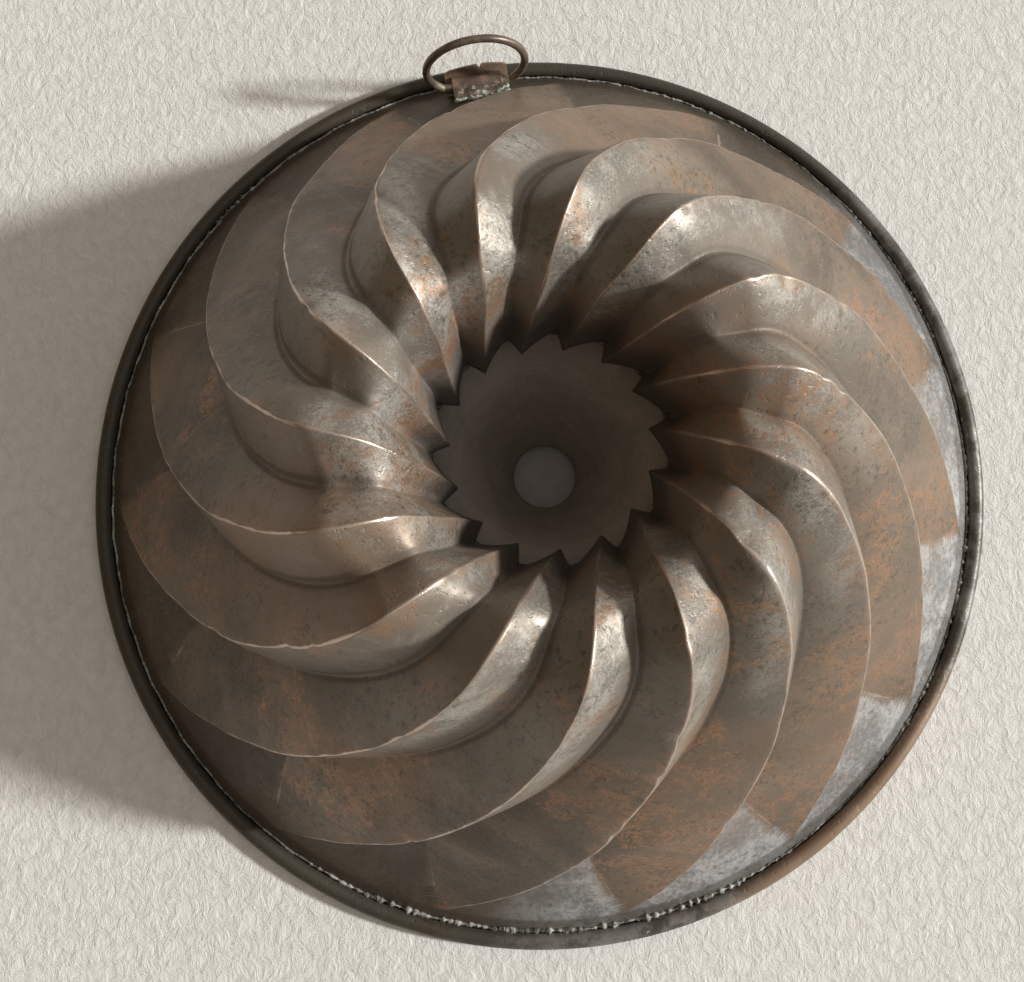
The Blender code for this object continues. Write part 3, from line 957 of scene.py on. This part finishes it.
def copper_material():
    """Old copper: dull brown patina, silvery rubbed ribs, orange bare patches and bright ridge lines, with
    light and shade painted by the side that faces the window.
    """
    made, g, shader, where = new_material("worn_copper_patina")
    axes = g.axes(where)
    share = g.value("share")
    patch = g.value("plain_patch")
    to_ridge = g.value("ridge_mm")
    to_fold = g.value("fold_mm")
    # Painted light: the side of the mould towards the window, on which patches, bead and green salts are
    # painted lit and pale
    sunlit_side = g.fade(g.plus(g.along(axes, SUNLIT_WAY), g.times(g.noise(where, 12.0), 0.03)), *SUNLIT_RUN)

    # Ribs over the crown, rubbed silvery and bare in patches, with the silver and bare copper only on the
    # side turned to the window as painted light
    high = g.fade(share, 0.34, 0.60)
    colour = g.mix(g.times(high, 0.75), patina(g, "brown")["Color"], CROWN_BROWN)
    rubbed = g.fade(g.noise(where, 46.0, 7.0, 0.68, 0.3), 0.36, 0.52)
    # Painted light: how far each face turns towards the window
    turned = g.add("ShaderNodeVectorMath", operation="DOT_PRODUCT")
    g.feed(turned, 0, g.add("ShaderNodeNewGeometry").outputs["Normal"])
    turned.inputs[1].default_value = LIT_RIB_WAY
    painted_lit_side = g.fade(turned.outputs["Value"], -0.30, 0.05, 0.08, 1.0)
    ribs = g.times(high, rubbed, g.fade(to_ridge, 13.0, 6.0), painted_lit_side, 0.95)
    colour = g.mix(ribs, colour, patina(g, "silver")["Color"])
    grains = g.fade(g.noise(where, 800.0, 5.0, 0.8), 0.44, 0.54, 0.30, 1.0)
    # Bare copper on the ribs, kept to their painted lit side
    copper_area = g.fade(g.noise(where, 38.0, 8.0, 0.72, 0.3), 0.54, 0.61)
    colour = g.mix(g.times(copper_area, grains, high, painted_lit_side, 0.85), colour, RIB_COPPER)

    # Patches between the flutes' feet, pewter on the sunlit side and a shaded patina on the other as painted
    # light and shade, then warm washes over the broad faces and a painted shade over the broad faces of the
    # sunlit side
    patched = g.mix(sunlit_side, patina(g, "shaded")["Color"], patina(g, "pewter")["Color"])
    colour = g.mix(g.times(patch, 0.9), colour, patched)
    warm = g.times(g.fade(g.noise(where, 15.0, 5.0, 0.6), 0.44, 0.60), g.fade(share, 0.0, 0.10), 0.5)
    warm = g.times(warm, g.minus(1.0, g.times(patch, 0.6)))
    colour = g.mix(warm, colour, WARM_BROWN)
    # Painted shade: the broad faces on the sunlit side dimmed towards a darker brown
    colour = g.mix(g.times(sunlit_side, g.fade(patch, 0.5, 0.0), 0.20), colour, SUNLIT_SIDE_SHADE)

    # Bare copper, and dark specks
    # Bare copper a little more often on the painted sunlit side
    area = g.fade(g.plus(g.noise(where, 26.0, 5.0, 0.62, 0.5), g.times(sunlit_side, 0.05)), 0.51, 0.61)
    speck = g.fade(g.noise(where, 1000.0, 5.0, 0.8), 0.46, 0.53)
    clumps = g.fade(g.noise(where, 190.0, 6.0, 0.75), 0.45, 0.54)
    bare = g.times(area, speck, clumps, g.minus(1.0, g.times(patch, 0.8)), 0.85)
    colour = g.mix(bare, colour, BARE_COPPER)
    dark_speck = g.fade(g.noise(where, 520.0, 6.0, 0.8), 0.53, 0.60)
    dark = g.times(dark_speck, g.fade(g.noise(where, 46.0, 5.0), 0.44, 0.56), 0.6)
    colour = g.mix(dark, colour, OLIVE_SPECK)

    # Valleys, rib tips and lip, with painted shade down the funnel
    valley = g.math("MINIMUM", g.value("crease_mm"), to_fold)
    dirt = g.times(g.fade(valley, 1.3, 0.2), g.fade(share, 0.25, 0.5), 0.30)
    colour = g.mix(dirt, colour, VALLEY_DIRT)
    tips = g.times(g.fade(share, 0.84, 0.91), g.fade(g.noise(where, 95.0, 5.0), 0.40, 0.58), 0.7)
    colour = g.mix(tips, colour, TIP_COPPER)
    # Painted shade: the sheet darkens as it runs down into the funnel to the lip
    colour = g.mix(g.times(g.fade(share, 0.885, 0.965), 0.9), colour, FUNNEL_SHADE)

    # Ridges and folds, rubbed bright
    near_ridge = g.group("rubbed_edge", Distance=to_ridge, Width=1.5, Break_Up=0.8)["Mask"]
    outside = g.fade(share, 0.94, 0.86)
    glow = g.times(near_ridge, outside, g.fade(share, 0.05, 0.35), 0.3)
    colour = g.mix(glow, colour, RIDGE_GLOW)
    ridge = g.group("rubbed_edge", Distance=to_ridge, Width=0.42, Break_Up=0.55)["Mask"]
    line = g.times(ridge, outside, g.fade(share, 0.0, 0.03))
    colour = g.mix(line, colour, RIDGE_BRIGHT)
    fold = g.group("rubbed_edge", Distance=to_fold, Width=0.35, Break_Up=1.0)["Mask"]
    folded = g.times(fold, g.fade(share, 0.20, 0.12), g.fade(g.noise(where, 60.0), 0.40, 0.60), 0.5)
    colour = g.mix(folded, colour, FOLD_GREY)

    # Rim bead, the groove over it and the green salts there
    bead = g.fade(share, -0.02, -0.5)
    colour = g.mix(g.times(bead, 0.92), colour, bead_colour(g, where, axes, sunlit_side))
    groove = g.math("SUBTRACT", g.fade(share, 0.008, 0.0), bead, clamp=True)
    # Darker in the groove over the bead
    colour = g.mix(g.times(groove, 0.6), colour, GROOVE_DARK)
    foot = g.most(g.fade(share, 0.035, 0.0), g.times(bead, 0.5))
    # Green salts stronger on the sunlit side, as painted light
    spots = g.times(g.fade(g.noise(where, 16.0, 3.0), 0.50, 0.62), g.blend(sunlit_side, 0.35, 1.0))
    green = g.group("verdigris", Base=colour, Where=g.times(foot, spots, 0.8), Amount=0.45)

    bright = g.most(line, g.times(bare, 0.6))
    rough = g.blend(bright, g.blend(g.noise(where, 240.0, 6.0, 0.7), 0.30, 0.66), 0.36)
    rough = g.blend(g.most(green["Mask"], g.fade(dirt, 0.05, 0.5)), rough, 0.85)
    metal = g.blend(bright, g.blend(ribs, 0.30, 0.42), 0.85)
    metal = g.blend(g.most(green["Mask"], dirt), metal, 0.05)
    finish_metal(g, shader, (green["Color"], metal, rough), (0.45, 1.0, 0.9), (0.55, 0.00030))
    return made


def tube_material():
    """Dull pinkish-grey copper in the chimney, sooted towards the top and rubbed at its lower edge."""
    made, g, shader, where = new_material("sooted_tube_copper")
    level = g.axes(where)["Z"]
    sooted = g.times(g.fade(level, *SOOT_RUN), 0.65)
    colour = g.mix(sooted, patina(g, "tube")["Color"], (0.120, 0.104, 0.090, 1))
    edge = g.times(g.fade(level, *TUBE_FOOT_RUN), 0.3)
    colour = g.mix(edge, colour, (0.20, 0.13, 0.09, 1))
    over_foot = g.times(g.plus(level, -TUBE_FOOT), 1000.0)
    rubbed = g.group("rubbed_edge", Distance=over_foot, Width=0.9, Break_Up=0.5)["Mask"]
    colour = g.mix(g.times(rubbed, 0.7), colour, (0.42, 0.28, 0.20, 1))
    rough = g.blend(g.noise(where, 80.0), 0.60, 0.80)
    finish_metal(g, shader, (colour, 0.05, rough), (0.3, 1.0, 0.8), (0.5, 0.0002))
    return made


def brass_material():
    """Brown brass wire, yellow and pale where it turns in the lug."""
    made, g, shader, where = new_material("brown_brass_wire")
    pale = g.times(g.value("rubbed"), g.fade(g.noise(where, 500.0, 4.0), 0.3, 0.6, 0.55, 1.0))
    colour = g.mix(pale, patina(g, "brass")["Color"], (0.52, 0.47, 0.32, 1))
    metal = g.blend(pale, 0.45, 0.8)
    rough = g.blend(g.noise(where, 300.0), 0.30, 0.48)
    finish_metal(g, shader, (colour, metal, rough), (0.1, 0.8, 0.6), (0.4, 0.00012))
    return made


def lug_material():
    """Brown copper strap, rubbed along its edges, with green salts towards its foot."""
    made, g, shader, where = new_material("lug_brown_copper")
    bare = g.times(g.fade(g.noise(where, 260.0, 5.0), 0.55, 0.66), 0.5)
    colour = g.mix(bare, patina(g, "lug")["Color"], (0.36, 0.22, 0.15, 1))
    edges = g.add("ShaderNodeNewGeometry").outputs["Pointiness"]
    colour = g.mix(g.times(g.fade(edges, 0.53, 0.60), 0.7), colour, (0.50, 0.38, 0.29, 1))
    low = g.fade(g.axes(where)["Y"], *LUG_GREEN_RUN)
    green = g.group("verdigris", Base=colour, Where=low, Amount=0.75)
    metal = g.blend(green["Mask"], 0.40, 0.05)
    rough = g.blend(green["Mask"], g.blend(g.noise(where, 260.0), 0.34, 0.5), 0.8)
    finish_metal(g, shader, (green["Color"], metal, rough), (0.3, 1.0, 0.8), (0.5, 0.00015))
    return made


def crust_material(name, metallic, green_share):
    """Old solder and verdigris: dull, grainy and uneven in colour."""
    made, g, shader, where = new_material(name)
    least = 0.62 - green_share * 0.3
    most = 0.70 - green_share * 0.3
    spots = g.fade(g.noise(where, 22.0, 5.0, 0.7), least, most)
    base = patina(g, name)["Color"]
    green = g.group("verdigris", Base=base, Where=spots, Amount=1.0)
    metal = g.blend(green["Mask"], metallic, 0.0)
    rough = g.blend(g.noise(where, 300.0), 0.55, 0.9)
    finish_metal(g, shader, (green["Color"], metal, rough), (0.2, 1.0, 1.0), (0.8, 0.00025))
    return made


def iron_material():
    """Dull iron wire, brown in patches."""
    made, g, shader, where = new_material("dull_rim_iron")
    base = patina(g, "iron")
    metal = g.blend(base["Mask"], 0.8, 0.35)
    rough = g.blend(g.noise(where, 300.0), 0.45, 0.8)
    finish_metal(g, shader, (base["Color"], metal, rough), (0.1, 1.0, 1.0), (0.6, 0.0002))
    return made


def floor_material():
    """A pale, stippled table top."""
    made, g, shader, where = new_material("pale_table")
    fibre = g.add("ShaderNodeMapping")
    g.feed(fibre, "Vector", where)
    fibre.inputs["Scale"].default_value = (1.0, 0.75, 1.0)
    stipple = g.noise(fibre.outputs["Vector"], 330.0, 6.0, 0.72, 0.5)
    tone = g.mix(g.noise(where, 4.0, 3.0), (0.82, 0.805, 0.765, 1), (0.87, 0.865, 0.840, 1))
    tone = g.mix(g.fade(stipple, 0.62, 0.38, 0.0, 0.30), tone, (0.62, 0.610, 0.580, 1))
    g.feed(shader, "Base Color", tone)
    g.feed(shader, "Roughness", 0.8)
    add_bump(g, shader, stipple, 0.8, 0.0010)
    return made


def paint(piece, material):
    piece.data.materials.clear()
    piece.data.materials.append(material)


# Scene

FLOOR_REACH = 1.5
FLOOR_DROP = 0.0002

# The view, fitted to the photo: the camera's place and axes, and its lens and shifts in picture pixels
CAMERA_PLACE = (-0.01292, -0.03223, 0.32259)
CAMERA_RIGHT = (0.98480, -0.17106, 0.02997)
CAMERA_UP = (0.16337, 0.97107, 0.17416)
CAMERA_BACK = (-0.05891, -0.16661, 0.98426)
PICTURE_WIDTH = 1024
SENSOR_WIDTH = 36
LENS_PIXELS = 1187.0
SHIFT_PIXELS = (-41.3, -96.1)

# The window: azimuth, rise and width in degrees
SUN_AZIMUTH = -9.5
SUN_RISE = 26
SUN_WIDTH = 5.5
SUN_ENERGY = 3.9
SUN_COLOUR = (1.0, 0.98, 0.95)

# The room's light away from the window and towards it, and what the camera sees beyond the table
ROOM_FAR = (0.28, 0.195, 0.105, 1)
ROOM_NEAR = (1.0, 0.98, 0.95, 1)
ROOM_STRENGTH = 0.56
BACKDROP = (0.62, 0.61, 0.59, 1)


def make_floor():
    corners = [(-1, -1), (1, -1), (1, 1), (-1, 1)]
    verts = [(x * FLOOR_REACH, y * FLOOR_REACH, 0) for x, y in corners]
    floor = mesh_object("table_top", verts, [(0, 1, 2, 3)], smooth=False)
    floor.location.z = -FLOOR_DROP
    paint(floor, floor_material())


def make_camera():
    data = bpy.data.cameras.new("view")
    data.sensor_width = SENSOR_WIDTH
    data.lens = LENS_PIXELS * SENSOR_WIDTH / PICTURE_WIDTH
    data.shift_x, data.shift_y = (shift / PICTURE_WIDTH for shift in SHIFT_PIXELS)
    data.clip_start = 0.01
    camera = bpy.data.objects.new("view", data)
    bpy.context.scene.collection.objects.link(camera)
    turn = Matrix((CAMERA_RIGHT, CAMERA_UP, CAMERA_BACK)).transposed().to_4x4()
    turn.translation = Vector(CAMERA_PLACE)
    camera.matrix_world = turn
    bpy.context.scene.camera = camera


def make_window(side):
    rise = math.radians(SUN_RISE)
    to_light = side * math.cos(rise) + Vector((0, 0, 1)) * math.sin(rise)
    sun = bpy.data.lights.new("window", "SUN")
    sun.energy = SUN_ENERGY
    sun.angle = math.radians(SUN_WIDTH)
    sun.color = SUN_COLOUR
    lamp = bpy.data.objects.new("window", sun)
    bpy.context.scene.collection.objects.link(lamp)
    lamp.rotation_euler = to_light.to_track_quat("Z", "Y").to_euler()


def make_room(side):
    world = bpy.data.worlds.new("room")
    bpy.context.scene.world = world
    world.use_nodes = True
    g = Graph(world.node_tree)
    ground = world.node_tree.nodes["Background"]
    way = g.add("ShaderNodeTexCoord").outputs["Generated"]
    dot = g.add("ShaderNodeVectorMath", operation="DOT_PRODUCT")
    g.feed(dot, 0, way)
    dot.inputs[1].default_value = side
    toward = g.fade(dot.outputs["Value"], -0.7, 0.8)
    g.feed(ground, "Color", g.mix(toward, ROOM_FAR, ROOM_NEAR))
    ground.inputs["Strength"].default_value = ROOM_STRENGTH
    backdrop = g.add("ShaderNodeBackground")
    backdrop.inputs["Color"].default_value = BACKDROP
    seen = g.add("ShaderNodeMixShader")
    g.feed(seen, 0, g.add("ShaderNodeLightPath").outputs["Is Camera Ray"])
    g.feed(seen, 1, ground.outputs["Background"])
    g.feed(seen, 2, backdrop.outputs["Background"])
    g.feed(world.node_tree.nodes["World Output"], "Surface", seen.outputs["Shader"])


def main():
    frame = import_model()
    bpy.context.scene.view_settings.view_transform = "Standard"
    patina_group()
    rub_group()
    grain_group()
    verdigris_group()

    body = make_body()
    paint(body, copper_material())
    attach(body, "mould")
    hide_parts("fluted_shell")

    ring = make_ring()
    paint(ring, brass_material())
    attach(ring, "ring")
    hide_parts("hanging_ring")

    lug_copper = lug_material()
    strap, leaf = make_lug()
    for piece in (strap, leaf):
        paint(piece, lug_copper)
        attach(piece, "mould")
    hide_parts("ring_lug")

    pale = crust_material("pale_verdigris", 0.1, 0.7)
    chalky = crust_material("chalky_seam_crust", 0.1, 0.2)
    crusts = make_lug_crust()
    seam = make_seam_crust()
    for piece in crusts + [seam]:
        paint(piece, chalky if piece is seam else pale)
        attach(piece, "mould")
    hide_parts("lug_solder")

    solder = make_tube_solder()
    paint(solder, crust_material("grey_solder", 0.3, 0.2))
    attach(solder, "mould")
    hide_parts("chimney_solder")

    paint(frame["nodes"]["chimney_tube"], tube_material())

    wire = make_rim_wire()
    paint(wire, iron_material())
    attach(wire, "mould")
    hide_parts("rim_wire")

    make_floor()
    make_camera()
    side = Matrix.Rotation(math.radians(SUN_AZIMUTH), 3, "Z") @ Vector((1, 0, 0))
    make_window(side)
    make_room(side)


main()
